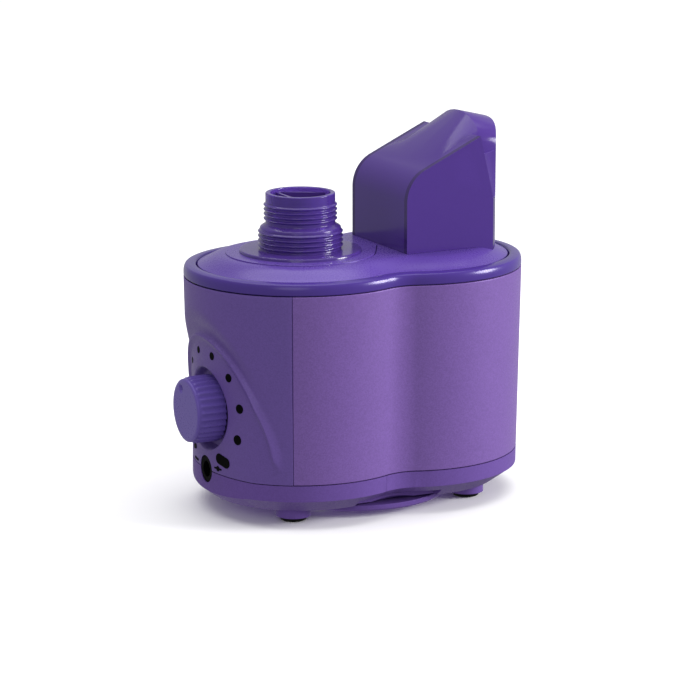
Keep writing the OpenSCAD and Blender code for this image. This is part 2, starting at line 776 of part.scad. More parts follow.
module pot_nut() color("silver") in_frame() translate([0, 0, dial_z]) {
    nut_x = dish_x - 0.65;
    difference() {
        translate([nut_x, 0, 0]) rotate([0, 90, 0]) cylinder(h = 0.6, r = 5, $fn = 6);
        along_x(nut_x - 1, 4, 3.5 + 0.02, 3.5 + 0.02);
    }
}

module dc_jack() color([0.05, 0.05, 0.06]) in_frame() translate([0, 0, base_seam_z]) {
    front_x = face_x + 0.4;
    difference() {
        union() {
            along_x(front_x, 6, jack_r, jack_r);
            translate([front_x + 5, -jack_r, -jack_r]) cube([9, 2 * jack_r, 2 * jack_r]);
        }
        along_x(front_x - 1, 20, jack_bore_r, jack_bore_r);
        along_x(front_x - 1, 1 + jack_mouth, jack_mouth_r, jack_mouth_r);
    }
}

module jack_pin() color("gold") in_frame() translate([0, 0, base_seam_z]) {
    front_x = face_x + 0.4;
    along_x(front_x + jack_mouth + 0.4, 13.4 - jack_mouth, jack_pin_r, jack_pin_r);
    along_x(front_x + 12.6, 1.2, jack_bore_r - 0.02, jack_bore_r - 0.02);
}

// ---- Water basin and mist maker ------------------------------------------------------

module water_basin() color([0.8, 0.82, 0.85]) in_frame() {
    well_z = basin_floor_z - 6;
    difference() {
        union() {
            plan_block(basin_floor_z, basin_rim_z, basin_inset);
            plan_block(basin_rim_z - 1.6, basin_rim_z, wall + 0.4);
            translate([disc_x, 0, well_z]) cylinder(h = 8, r = 19);
        }
        plan_block(basin_floor_z + 1.8, basin_rim_z + 1, basin_inset + 1.8);
        translate([disc_x, 0, well_z + 3.2]) cylinder(h = 20, r = 17);
        translate([disc_x, 0, 0]) cylinder(h = 200, r = disc_r - 1.6);
        translate([disc_x, 0, well_z - 1]) cylinder(h = disc_t + 2.4, r = disc_r + 1.2);
        for (p = ring_posts) translate([p[0], p[1], well_z - 1]) cylinder(h = 3.4, r = screw_r);
    }
    // Post that opens the bottle's valve.
    translate([neck_x, 0, basin_floor_z + 1.7])
        cylinder(h = valve_tip_z - air - basin_floor_z - 1.7, r = 2.4);
}

module basin_seal() color([0.15, 0.15, 0.16]) in_frame()
    difference() {
        plan_block(basin_rim_z, basin_rim_z + 0.35, wall + 0.9);
        plan_block(basin_rim_z - 1, basin_rim_z + 1, basin_inset + 0.4);
    }

module mist_disc() color([0.75, 0.73, 0.68]) in_frame()
    translate([disc_x, 0, basin_floor_z - 5.2]) cylinder(h = disc_t, r = disc_r);

module disc_seal() color([0.1, 0.1, 0.1]) in_frame() translate([disc_x, 0, basin_floor_z - 5.9])
    difference() {
        cylinder(h = disc_t + 1.3, r = disc_r + 1.1);
        translate([0, 0, 0.7]) cylinder(h = disc_t, r = disc_r + 0.02);
        translate([0, 0, -1]) cylinder(h = 8, r = disc_r - 1.4);
    }

module disc_ring() color([0.7, 0.7, 0.72]) in_frame() translate([disc_x, 0, basin_floor_z - 7.6])
    difference() {
        cylinder(h = 1.5, r = 18.5);
        translate([0, 0, -1]) cylinder(h = 4, r = disc_r - 2);
        for (a = [45 : 90 : 315]) translate([15 * cos(a), 15 * sin(a), -1])
            cylinder(h = 4, r = screw_r + 0.15);
    }

module ring_screws() color("silver") in_frame()
    for (p = ring_posts) screw(p[0], p[1], basin_floor_z - 7.6, 3.6);

module mist_duct() color([0.8, 0.82, 0.85]) in_frame() translate([disc_x, 0, 0])
    difference() {
        union() {
            translate([0, 0, duct_foot_z]) cylinder(h = cover_top_z - 1 - duct_foot_z, r = duct_r);
            for (a = [60, 180, 300]) rotate([0, 0, a])
                translate([duct_r - 2, -1.2, basin_floor_z - 2.78]) cube([1.6, 2.4, duct_foot_z - basin_floor_z + 4]);
        }
        translate([0, 0, duct_foot_z - 1]) cylinder(h = 60, r = duct_r - 1.4);
    }

module float_post() color([0.8, 0.82, 0.85]) in_frame() translate([post_x, post_y, basin_floor_z + 1.8]) {
    cylinder(h = post_h, r = post_r);
    translate([0, 0, post_h - tiny]) cylinder(h = 1.2, r = post_r + 1.6);
}

module float() color([0.92, 0.92, 0.9]) in_frame() translate([post_x, post_y, basin_floor_z + 2.1])
    difference() {
        cylinder(h = float_h, r = float_r);
        translate([0, 0, -1]) cylinder(h = float_h + 2, r = post_r + clear);
    }

// ---- Fan and electronics -------------------------------------------------------------

module fan_frame() color([0.08, 0.08, 0.09]) in_frame() translate([fan_x, 0, fan_z + 0.02]) {
    ring_r = fan_w / 2 - 1.2;
    difference() {
        translate([-fan_w / 2, -fan_w / 2, 0]) cube([fan_w, fan_w, fan_d]);
        translate([0, 0, -1]) cylinder(h = fan_d + 2, r = ring_r);
        for (sx = [-1, 1], sy = [-1, 1])
            translate([sx * fan_hole, sy * fan_hole, -1]) cylinder(h = fan_d + 2, r = screw_r + 0.35);
    }
    // Motor base on four arms, with the bearing pin.
    difference() {
        union() {
            cylinder(h = 1.4, r = hub_r);
            for (a = [45 : 90 : 315]) rotate([0, 0, a]) translate([0, -1, 0]) cube([ring_r + 0.6, 2, 1.4]);
        }
        translate([0, 0, -1]) cylinder(h = 1.4, r = 2);
    }
    cylinder(h = fan_d - 2.7, r = 1.4);
}

module fan_rotor() color([0.1, 0.1, 0.11]) in_frame() translate([fan_x, 0, fan_z + 0.02]) {
    foot = 2;
    blade_h = fan_d - 3.4;
    difference() {
        union() {
            translate([0, 0, foot]) cylinder(h = fan_d - foot - 0.6, r = hub_r);
            for (i = [0 : fan_blades - 1]) rotate([0, 0, i * 360 / fan_blades])
                translate([hub_r - 0.5, 0, foot + 0.4 + blade_h / 2]) rotate([38, 0, 0])
                    translate([0, -4, -0.5]) cube([fan_w / 2 - 2.2 - hub_r + 0.5, 8, 1]);
        }
        translate([0, 0, foot - 1]) cylinder(h = fan_d - foot - 1.6, r = hub_r - 1.2);
    }
    difference() {
        translate([0, 0, foot]) cylinder(h = fan_d - foot - 1.4, r = 3.4);
        translate([0, 0, foot - 1]) cylinder(h = fan_d - 2.4 - foot + 1.3, r = 1.4 + run_gap);
    }
}

module fan_screws() color("silver") in_frame()
    for (p = fan_posts) translate([p[0], p[1], fan_z + fan_d + 0.04]) mirror([0, 0, 1])
        screw(0, 0, 0, fan_d + 6);

module circuit_board() color([0.1, 0.4, 0.2]) in_frame()
    difference() {
        translate([board_x - 18, -24, board_z + 0.02]) cube([36, 48, 1.6]);
        for (p = board_posts) translate([p[0], p[1], board_z - 1]) cylinder(h = 4, r = screw_r + 0.2);
    }

module board_screws() color("silver") in_frame()
    for (p = board_posts) translate([p[0], p[1], board_z + 1.65]) mirror([0, 0, 1])
        screw(0, 0, 0, 7);

module heat_sink() color([0.7, 0.7, 0.72]) in_frame() translate([board_x + 6, -10, board_z + 1.64]) {
    cube([2, 20, 12]);
    for (i = [0 : 5]) translate([1.9, 0.4 + i * 3.6, 0]) cube([5, 1.2, 12]);
}

module transistor() color([0.1, 0.1, 0.1]) in_frame() translate([board_x + 1.45, -5, board_z + 3.2]) {
    cube([4.5, 10, 9]);
    for (y = [2, 4.6, 7.2]) translate([2, y, -1.5]) cube([0.6, 0.8, 1.6]);
}

module coil() color([0.6, 0.35, 0.12]) in_frame() translate([board_x - 9, -7, board_z + 1.64])
    difference() {
        cylinder(h = 7, r = 5);
        translate([0, 0, 3.5]) cylinder(h = 5, r = 1.6);
    }

module capacitors() color([0.15, 0.15, 0.3]) in_frame()
    for (p = [[-10, 4.5, 4, 10], [-9, 12.2, 3.2, 9], [-1, 17, 2.5, 7]])
        translate([board_x + p[0], p[1], board_z + 1.64]) cylinder(h = p[3], r = p[2]);

base_tray();
rubber_feet();
intake_cover();
intake_screws();
case_screws();
body_wrap();
front_panel();
dial_marks();
inlet_marks();
lid_rim();
top_cover();
neck_plate();
bottle_neck();
neck_seal();
valve_web();
valve_stem();
valve_spring();
valve_seal();
mist_hood();
dial_knob();
pot_shaft();
pot_body();
pot_nut();
dc_jack();
jack_pin();
water_basin();
basin_seal();
mist_disc();
disc_seal();
disc_ring();
ring_screws();
mist_duct();
float();
float_post();
fan_frame();
fan_rotor();
fan_screws();
circuit_board();
board_screws();
heat_sink();
transistor();
coil();
capacitors();
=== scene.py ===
import json
from math import acos, atan2, cos, exp, hypot, pi, radians, sin, sqrt

import bmesh
import bpy
from mathutils import Matrix, Vector


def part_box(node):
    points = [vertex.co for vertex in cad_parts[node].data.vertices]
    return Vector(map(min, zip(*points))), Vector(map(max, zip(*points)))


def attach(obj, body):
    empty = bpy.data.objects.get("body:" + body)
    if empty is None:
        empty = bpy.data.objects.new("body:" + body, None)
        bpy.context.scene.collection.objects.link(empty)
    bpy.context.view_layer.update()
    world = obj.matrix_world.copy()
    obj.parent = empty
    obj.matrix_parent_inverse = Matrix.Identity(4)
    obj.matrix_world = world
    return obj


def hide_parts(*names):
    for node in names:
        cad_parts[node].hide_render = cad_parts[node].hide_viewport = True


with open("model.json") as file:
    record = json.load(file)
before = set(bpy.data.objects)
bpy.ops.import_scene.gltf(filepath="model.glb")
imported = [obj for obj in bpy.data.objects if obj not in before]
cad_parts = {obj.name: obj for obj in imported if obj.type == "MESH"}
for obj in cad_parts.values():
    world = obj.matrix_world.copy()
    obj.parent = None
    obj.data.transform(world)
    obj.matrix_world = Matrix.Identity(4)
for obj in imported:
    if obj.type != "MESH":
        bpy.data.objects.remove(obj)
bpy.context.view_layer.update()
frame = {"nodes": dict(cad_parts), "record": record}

scene = bpy.context.scene
mm = 0.001
weld = 0.004 * mm      # points nearer than this are one point


def middleOf(node, axis):
    low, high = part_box(node)
    return (low[axis] + high[axis]) / 2


def smooth(t):
    t = min(1, max(0, t))
    return t * t * (3 - 2 * t)


# Plan of the body: two round lobes joined by a hollow waist, taken from the lid rim's box.
rimLow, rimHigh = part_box("lid_rim")
panelLow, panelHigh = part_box("front_panel")
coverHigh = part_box("top_cover")[1]
seam = 0.25 * mm       # gap between two shells
centreX = (rimLow.x + rimHigh.x) / 2
plan = {
    "lobeR": (rimHigh.y - rimLow.y) / 2,
    "waistR": 16 * mm,
    "wall": 2.2 * mm,
    "lean": 1.2 * mm,      # how far the side wall leans in at its foot
    "lidSeamZ": panelHigh.z,
    "baseSeamZ": panelLow.z - seam,
    "rimZ": rimHigh.z,
    "coverZ": coverHigh.z,
    "panelAngle": radians(60),
    "stepAngle": radians(3),
}
plan["lobeX"] = (rimHigh.x - rimLow.x) / 2 - plan["lobeR"]
plan["waistY"] = sqrt((plan["lobeR"] + plan["waistR"]) ** 2 - plan["lobeX"] ** 2)
plan["turn"] = atan2(plan["waistY"], -plan["lobeX"])

cameraSet = {
    "azimuth": -27,
    "elevation": 13,
    "distance": 1.05,
    "target": (centreX, 0, 0.055),
    "lens": 144.7,
    "sensor": 36,
    "shiftX": -0.0057,
}
studio = {
    "floor": (0.93, 0.93, 0.94),
    "floorSize": 14,
    "world": (1, 1, 1),
    "worldPower": 0.52,
    # name, place round the object, size, power, colour
    "lights": [
        ("keySoftbox", (1.35, -0.8, 0.55), 0.7, 30, (1, 0.99, 0.98)),
        ("topSoftbox", (0.1, 0.4, 3.0), 4, 92, (1, 1, 1)),
        ("fillSoftbox", (-0.9, -1.3, 0.7), 0.9, 3.5, (0.98, 0.99, 1)),
    ],
}


def linear(*channels):
    # screen values 0 to 255 as the shader's own light values
    return tuple(((c / 255 + 0.055) / 1.055) ** 2.4 if c > 10 else c / 255 / 12.92
                 for c in channels) + (1,)


def addCamera():
    azimuth, elevation = radians(cameraSet["azimuth"]), radians(cameraSet["elevation"])
    away = Vector((sin(azimuth) * cos(elevation), -cos(azimuth) * cos(elevation), sin(elevation)))
    data = bpy.data.cameras.new("camera")
    data.lens = cameraSet["lens"]
    data.sensor_width = cameraSet["sensor"]
    data.shift_x = cameraSet["shiftX"]
    data.clip_start, data.clip_end = 0.05, 40
    camera = bpy.data.objects.new("camera", data)
    camera.location = Vector(cameraSet["target"]) + away * cameraSet["distance"]
    camera.rotation_euler = (-away).to_track_quat("-Z", "Y").to_euler()
    scene.collection.objects.link(camera)
    scene.camera = camera


def addLights():
    for name, place, size, power, colour in studio["lights"]:
        data = bpy.data.lights.new(name, "AREA")
        data.shape = "DISK"
        data.size, data.energy, data.color = size, power, colour
        lamp = bpy.data.objects.new(name, data)
        lamp.location = place
        aim = Vector(cameraSet["target"]) - Vector(place)
        lamp.rotation_euler = aim.to_track_quat("-Z", "Y").to_euler()
        scene.collection.objects.link(lamp)
    world = bpy.data.worlds.new("studio")
    world.use_nodes = True
    background = world.node_tree.nodes["Background"]
    background.inputs["Color"].default_value = (*studio["world"], 1)
    background.inputs["Strength"].default_value = studio["worldPower"]
    scene.world = world
    scene.view_settings.view_transform = "Standard"


def addFloor():
    bm = bmesh.new()
    bmesh.ops.create_grid(bm, x_segments=4, y_segments=4, size=studio["floorSize"] / 2)
    mesh = bpy.data.meshes.new("floor")
    bm.to_mesh(mesh)
    bm.free()
    floor = bpy.data.objects.new("floor", mesh)
    scene.collection.objects.link(floor)
    material = bpy.data.materials.new("palePaper")
    material.use_nodes = True
    shader = material.node_tree.nodes["Principled BSDF"]
    shader.inputs["Base Color"].default_value = (*studio["floor"], 1)
    shader.inputs["Roughness"].default_value = 0.8
    mesh.materials.append(material)
    floor.visible_diffuse = floor.visible_glossy = False    # it sends no light back up


addCamera()
addLights()
addFloor()
print("camera and studio set")


def newGroup(name, inputs, outputs):
    group = bpy.data.node_groups.new(name, "ShaderNodeTree")
    for label, kind in inputs:
        group.interface.new_socket(label, in_out="INPUT", socket_type=kind)
    for label, kind in outputs:
        group.interface.new_socket(label, in_out="OUTPUT", socket_type=kind)
    nodes = group.nodes
    return group, nodes.new("NodeGroupInput"), nodes.new("NodeGroupOutput")


def newNode(tree, kind, **values):
    node = tree.nodes.new(kind)
    for key, value in values.items():
        setattr(node, key, value)
    return node


def newMath(tree, operation, a, b):
    node = newNode(tree, "ShaderNodeMath", operation=operation)
    for socket, value in zip(node.inputs, (a, b)):
        if isinstance(value, (int, float)):
            socket.default_value = value
        else:
            tree.links.new(value, socket)
    return node.outputs[0]


def makeFlakeGroup():
    # tiny metal flakes: each cell is a little lighter or darker, and a little shinier
    group, start, end = newGroup(
        "metalFlake",
        [("Vector", "NodeSocketVector"), ("Colour", "NodeSocketColor"),
         ("Scale", "NodeSocketFloat"), ("Amount", "NodeSocketFloat"),
         ("Roughness", "NodeSocketFloat")],
        [("Colour", "NodeSocketColor"), ("Roughness", "NodeSocketFloat")])
    cells = newNode(group, "ShaderNodeTexVoronoi", feature="F1")
    group.links.new(start.outputs["Vector"], cells.inputs["Vector"])
    group.links.new(start.outputs["Scale"], cells.inputs["Scale"])
    split = newNode(group, "ShaderNodeSeparateColor")
    group.links.new(cells.outputs["Color"], split.inputs["Color"])
    swing = newMath(group, "SUBTRACT", split.outputs[0], 0.5)
    swing = newMath(group, "MULTIPLY", swing, start.outputs["Amount"])
    gain = newMath(group, "ADD", swing, 1.0)
    tone = newNode(group, "ShaderNodeVectorMath", operation="SCALE")
    group.links.new(start.outputs["Colour"], tone.inputs[0])
    group.links.new(gain, tone.inputs["Scale"])
    group.links.new(tone.outputs["Vector"], end.inputs["Colour"])
    shine = newMath(group, "SUBTRACT", split.outputs[1], 0.5)
    shine = newMath(group, "MULTIPLY", shine, start.outputs["Amount"])
    rough = newMath(group, "ADD", shine, start.outputs["Roughness"])
    group.links.new(rough, end.inputs["Roughness"])
    return group


def makeMottleGroup():
    # slow drift of tone and gloss over a moulding
    group, start, end = newGroup(
        "slowMottle",
        [("Vector", "NodeSocketVector"), ("Colour", "NodeSocketColor"),
         ("Scale", "NodeSocketFloat"), ("Amount", "NodeSocketFloat"),
         ("Roughness", "NodeSocketFloat")],
        [("Colour", "NodeSocketColor"), ("Roughness", "NodeSocketFloat")])
    cloud = newNode(group, "ShaderNodeTexNoise")
    cloud.inputs["Detail"].default_value = 3
    group.links.new(start.outputs["Vector"], cloud.inputs["Vector"])
    group.links.new(start.outputs["Scale"], cloud.inputs["Scale"])
    swing = newMath(group, "SUBTRACT", cloud.outputs[0], 0.5)
    swing = newMath(group, "MULTIPLY", swing, start.outputs["Amount"])
    tone = newNode(group, "ShaderNodeVectorMath", operation="SCALE")
    group.links.new(start.outputs["Colour"], tone.inputs[0])
    group.links.new(newMath(group, "ADD", swing, 1.0), tone.inputs["Scale"])
    group.links.new(tone.outputs["Vector"], end.inputs["Colour"])
    rough = newMath(group, "ADD", swing, start.outputs["Roughness"])
    group.links.new(rough, end.inputs["Roughness"])
    return group


def makeGrainGroup():
    # height of a fine moulded grain, with sparse hairline scuffs along one way
    group, start, end = newGroup(
        "mouldGrain",
        [("Vector", "NodeSocketVector"), ("Scale", "NodeSocketFloat"),
         ("Scuffs", "NodeSocketFloat")],
        [("Height", "NodeSocketFloat")])
    grain = newNode(group, "ShaderNodeTexNoise")
    grain.inputs["Detail"].default_value = 2
    group.links.new(start.outputs["Vector"], grain.inputs["Vector"])
    group.links.new(start.outputs["Scale"], grain.inputs["Scale"])
    stretch = newNode(group, "ShaderNodeMapping")
    stretch.inputs["Rotation"].default_value = (0.3, 0.5, 0.9)
    stretch.inputs["Scale"].default_value = (900, 60, 900)      # long one way, thin the others
    group.links.new(start.outputs["Vector"], stretch.inputs["Vector"])
    scuff = newNode(group, "ShaderNodeTexNoise")
    scuff.inputs["Scale"].default_value = 1
    group.links.new(stretch.outputs["Vector"], scuff.inputs["Vector"])
    lines = newMath(group, "MULTIPLY", scuff.outputs[0], start.outputs["Scuffs"])
    group.links.new(newMath(group, "ADD", grain.outputs[0], lines), end.inputs["Height"])
    return group


flakeGroup, mottleGroup, grainGroup = makeFlakeGroup(), makeMottleGroup(), makeGrainGroup()

surface = {
    "mottleScale": 45,
    "flakeScale": 2600,
    "grainScale": 1400,
    "scuffs": 0.25,
    "bumpDepth": 0.1 * mm,
    "coatRough": 0.18,
    "specular": 0.5,
    "clearIndex": 1.49,
}
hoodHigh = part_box("mist_hood")[1]
# painted shade band on the hood's side walls: its colour is darkened by this share between these
# two distances off the middle
hoodShadeBand = {"inner": hoodHigh.y - 2.3 * mm, "outer": hoodHigh.y - 0.05 * mm, "depth": 0.45}
clear = dict(metallic=0, rough=0.16, coat=0, flake=0.03, mottle=0.06, grain=0.015)
# One entry per finish. colour is as seen on a screen; flake and mottle are shares of it.
finishes = {
    "body": dict(colour=(112, 83, 154), metallic=0.15, rough=0.46, coat=0.04, specular=0.3,
                 flake=0.2, mottle=0.05, grain=0.1),
    "panel": dict(colour=(98, 75, 146), metallic=0.1, rough=0.46, coat=0.04, specular=0.25,
                  flake=0.14, mottle=0.05, grain=0.08),
    "base": dict(colour=(100, 75, 146), metallic=0.1, rough=0.48, coat=0, specular=0.08,
                 flake=0.14, mottle=0.06, grain=0.1),
    "knob": dict(colour=(96, 77, 158), metallic=0.05, rough=0.3, coat=0.06, specular=0.2,
                 flake=0.06, mottle=0.05, grain=0.04),
    "rim": dict(colour=(66, 44, 128), metallic=0.05, rough=0.24, coat=0.15, specular=0.25,
                flake=0.04, mottle=0.06, grain=0.02),
    "cover": dict(colour=(85, 61, 145), metallic=0.05, rough=0.28, coat=0.08, specular=0.2,
                  flake=0.02, mottle=0.06, grain=0.008),
    "clear_violet": dict(clear, colour=(80, 54, 138), glass=0.2, specular=0.12),
    # the hood's finish carries the painted shade band on its side walls
    "clearHood": dict(clear, colour=(80, 54, 138), glass=0.2, specular=0.12, paintedWallShade=hoodShadeBand),
    "clearNeck": dict(clear, colour=(98, 68, 170), glass=0.55, specular=0.15),
    "ink": dict(colour=(3, 3, 5), metallic=0, rough=0.7, coat=0, specular=0.05,
                flake=0.1, mottle=0.2, grain=0.1),
    "rubber": dict(colour=(8, 8, 9), metallic=0, rough=0.7, coat=0, specular=0.1,
                   flake=0.3, mottle=0.3, grain=0.6),
    "silicone": dict(colour=(214, 212, 220), metallic=0, rough=0.5, coat=0.1,
                     flake=0.05, mottle=0.1, grain=0.2),
    "inner_plastic": dict(colour=(224, 222, 228), metallic=0, rough=0.4, coat=0.1,
                          flake=0.04, mottle=0.06, grain=0.25),
    "black_plastic": dict(colour=(5, 5, 6), metallic=0, rough=0.6, coat=0, specular=0.04,
                          flake=0.2, mottle=0.2, grain=0.35),
    "steel": dict(colour=(190, 190, 196), metallic=1, rough=0.28, coat=0,
                  flake=0.1, mottle=0.15, grain=0.1),
    "gold_contact": dict(colour=(226, 190, 110), metallic=1, rough=0.24, coat=0,
                         flake=0.1, mottle=0.12, grain=0.08),
    "ceramic": dict(colour=(214, 206, 190), metallic=0, rough=0.35, coat=0.3,
                    flake=0.1, mottle=0.1, grain=0.15),
    "board": dict(colour=(30, 92, 52), metallic=0, rough=0.32, coat=0.4,
                  flake=0.15, mottle=0.2, grain=0.12),
    "aluminium": dict(colour=(186, 188, 192), metallic=1, rough=0.36, coat=0,
                      flake=0.15, mottle=0.1, grain=0.3),
    "copper": dict(colour=(196, 112, 72), metallic=1, rough=0.3, coat=0,
                   flake=0.12, mottle=0.15, grain=0.15),
    "can": dict(colour=(46, 44, 60), metallic=0.3, rough=0.3, coat=0.3,
                flake=0.15, mottle=0.1, grain=0.1),
}


def paintWallShade(tree, place, tone, shadeBand):
    # painted shade: the clear plastic's colour is darkened in a band between two distances off the
    # middle, where a side wall is seen end on
    split = newNode(tree, "ShaderNodeSeparateXYZ")
    tree.links.new(place, split.inputs[0])
    off = newMath(tree, "ABSOLUTE", split.outputs[1], 0)
    shadeMask = newMath(tree, "MULTIPLY", newMath(tree, "GREATER_THAN", off, shadeBand["inner"]),
                   newMath(tree, "LESS_THAN", off, shadeBand["outer"]))
    gain = newMath(tree, "SUBTRACT", 1.0, newMath(tree, "MULTIPLY", shadeMask, shadeBand["depth"]))
    scaled = newNode(tree, "ShaderNodeVectorMath", operation="SCALE")
    tree.links.new(tone, scaled.inputs[0])
    tree.links.new(gain, scaled.inputs["Scale"])
    return scaled.outputs["Vector"]


def makeFinish(name, look):
    material = bpy.data.materials.new(name)
    material.use_nodes = True
    tree = material.node_tree
    shader = tree.nodes["Principled BSDF"]
    place = newNode(tree, "ShaderNodeTexCoord").outputs["Object"]

    def useGroup(group, **values):
        node = newNode(tree, "ShaderNodeGroup", node_tree=group)
        tree.links.new(place, node.inputs["Vector"])
        for key, value in values.items():
            if hasattr(value, "is_linked"):
                tree.links.new(value, node.inputs[key])
            else:
                node.inputs[key].default_value = value
        return node.outputs

    drift = useGroup(mottleGroup, Colour=linear(*look["colour"]), Amount=look["mottle"],
                     Roughness=look["rough"], Scale=surface["mottleScale"])
    flakes = useGroup(flakeGroup, Colour=drift["Colour"], Amount=look["flake"],
                      Roughness=drift["Roughness"], Scale=surface["flakeScale"])
    grain = useGroup(grainGroup, Scale=surface["grainScale"], Scuffs=surface["scuffs"])
    tone = flakes["Colour"]
    # painted shade: the band on the hood's side walls is darkened into the base colour
    if "paintedWallShade" in look:
        tone = paintWallShade(tree, place, tone, look["paintedWallShade"])
    tree.links.new(tone, shader.inputs["Base Color"])
    tree.links.new(flakes["Roughness"], shader.inputs["Roughness"])
    bump = newNode(tree, "ShaderNodeBump")
    bump.inputs["Strength"].default_value = look["grain"]
    bump.inputs["Distance"].default_value = surface["bumpDepth"]
    tree.links.new(grain["Height"], bump.inputs["Height"])
    tree.links.new(bump.outputs["Normal"], shader.inputs["Normal"])
    shader.inputs["Metallic"].default_value = look["metallic"]
    shader.inputs["Coat Weight"].default_value = look["coat"]
    shader.inputs["Coat Roughness"].default_value = surface["coatRough"]
    shader.inputs["Specular IOR Level"].default_value = look.get("specular", surface["specular"])
    if "glass" in look:
        shader.inputs["Transmission Weight"].default_value = look["glass"]
        shader.inputs["IOR"].default_value = surface["clearIndex"]
    return material


materials = {name: makeFinish(name, look) for name, look in finishes.items()}
print("finishes made:", len(materials))


modelling = {
    "bevelSegments": 3,
    "cornerSegments": 4,
    "flatAngle": radians(1.5),      # facets closer than this become one
    "sliver": 0.001 * mm,
}


def addPiece(name, bm, body, slot, stands, bevel=0, sharp=38, moveX=0, solid=0):
    # a finished piece: soft edges, its finish, its body and the nodes that it stands for
    if moveX:
        bmesh.ops.translate(bm, verts=bm.verts[:], vec=(moveX, 0, 0))
    mesh = bpy.data.meshes.new(name)
    bm.to_mesh(mesh)
    bm.free()
    mesh.shade_smooth()
    mesh.set_sharp_from_angle(angle=radians(sharp))
    piece = bpy.data.objects.new(name, mesh)
    scene.collection.objects.link(piece)
    mesh.materials.append(materials[slot])
    if solid:
        shell = piece.modifiers.new("thickness", "SOLIDIFY")
        shell.thickness, shell.offset, shell.use_even_offset = solid, -1, False
    if bevel:
        soften = piece.modifiers.new("softEdges", "BEVEL")
        soften.width, soften.segments = bevel, modelling["bevelSegments"]
        soften.limit_method, soften.angle_limit = "ANGLE", radians(sharp)
        soften.use_clamp_overlap = True
        soften.harden_normals = True
        soften.material = -1
    else:
        weigh = piece.modifiers.new("flatFaces", "WEIGHTED_NORMAL")
        weigh.keep_sharp = True
    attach(piece, body)
    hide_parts(*stands)
    return piece


def tidyShell(bm):
    bmesh.ops.remove_doubles(bm, verts=bm.verts[:], dist=weld)
    bmesh.ops.recalc_face_normals(bm, faces=bm.faces[:])


def softCopy(node, name, body, slot, bevel):
    # a copy of a CAD node's mesh, joined up and flattened, so that its edges can be rounded
    bm = bmesh.new()
    bm.from_mesh(frame["nodes"][node].data)
    bmesh.ops.remove_doubles(bm, verts=bm.verts[:], dist=weld)
    bmesh.ops.dissolve_limit(bm, angle_limit=modelling["flatAngle"], verts=bm.verts[:],
                             edges=bm.edges[:])
    return addPiece(name, bm, body, slot, (node,), bevel)


def drawLoop(bm, spots, rounds):
    # closed outline through the spots, with each corner rounded by its own amount
    verts = [bm.verts.new(spot) for spot in spots]
    for a, b in zip(verts, verts[1:] + verts[:1]):
        bm.edges.new((a, b))
    for size in sorted(set(rounds) - {0}):
        corners = [v for v, r in zip(verts, rounds) if r == size]
        bmesh.ops.bevel(bm, geom=corners, offset=size, segments=modelling["cornerSegments"],
                        profile=0.5, affect="VERTICES", material=-1)
    return bm.verts[:] + bm.edges[:]


def sweepPlan(bm, section, gap=0.0):
    # turns an upright section, given as (outwards, height, rounding), along the outline of the body
    lobeX, lobeR = plan["lobeX"], plan["lobeR"]
    angle = pi + gap
    spots = [(-lobeX + (lobeR + out) * cos(angle), (lobeR + out) * sin(angle), z)
             for out, z, r in section]
    start = drawLoop(bm, spots, [r for out, z, r in section])
    last = spinPlan(bm, start, gap)
    if gap:
        for ring in (start, last):
            ends = [g for g in ring if isinstance(g, bmesh.types.BMEdge)]
            bmesh.ops.contextual_create(bm, geom=ends)
    tidyShell(bm)


def spinPlan(bm, last, gap=0.0):
    # spins the geometry round both lobes and hollows, from one side of the dial end to the other
    lobeX, waistY, turn = plan["lobeX"], plan["waistY"], plan["turn"]
    hollow = -(2 * turn - pi)
    for x, y, sweep in ((-lobeX, 0, turn - gap), (0, -waistY, hollow), (lobeX, 0, 2 * turn),
                        (0, waistY, hollow), (-lobeX, 0, turn - gap)):
        steps = max(4, round(abs(sweep) / plan["stepAngle"]))
        last = bmesh.ops.spin(bm, geom=last, cent=(x, y, 0), axis=(0, 0, 1), angle=sweep,
                              steps=steps)["geom_last"]
    return last


def lathe(bm, profile, centre, axis, steps):
    # turns a closed profile, given as (radius, height, rounding), once round the axis
    side = Vector((1, 0, 0)) if axis == "Z" else Vector((0, 0, 1))
    along = Vector((0, 0, 1)) if axis == "Z" else Vector((1, 0, 0))
    spots = [Vector(centre) + side * r + along * h for r, h, k in profile]
    start = drawLoop(bm, spots, [k for r, h, k in profile])
    bmesh.ops.spin(bm, geom=start, cent=centre, axis=along, angle=2 * pi, steps=steps,
                   use_merge=True)
    bmesh.ops.remove_doubles(bm, verts=bm.verts[:], dist=weld)
    bmesh.ops.dissolve_degenerate(bm, edges=bm.edges[:], dist=modelling["sliver"])


def makeBodyWall():
    low, high = plan["baseSeamZ"] + seam, plan["lidSeamZ"]
    wall, lean = plan["wall"], plan["lean"]
    soft = 0.35 * mm
    section = [(-lean, low, soft), (0, high, soft), (-wall, high, soft), (-lean - wall, low, soft)]
    bm = bmesh.new()
    sweepPlan(bm, section, plan["panelAngle"] + seam / plan["lobeR"])
    addPiece("sideWall", bm, "housing", "body", ("body_wrap",), moveX=centreX)


rim = {
    "width": 4.9 * mm,
    "shoulderDrop": 0.9 * mm,
    "crestIn": 2.4 * mm,
    "innerIn": 0.5 * mm,
    "innerDrop": 0.25 * mm,
    "edgeDrop": 1.2 * mm,
    "ledge": 2.2 * mm,         # from the rim's foot up to its underside
    "skirtGap": 0.3 * mm,      # between the side wall and the skirt that drops inside it
    "skirtT": 1.6 * mm,
    "skirtDrop": 1.2 * mm,
}


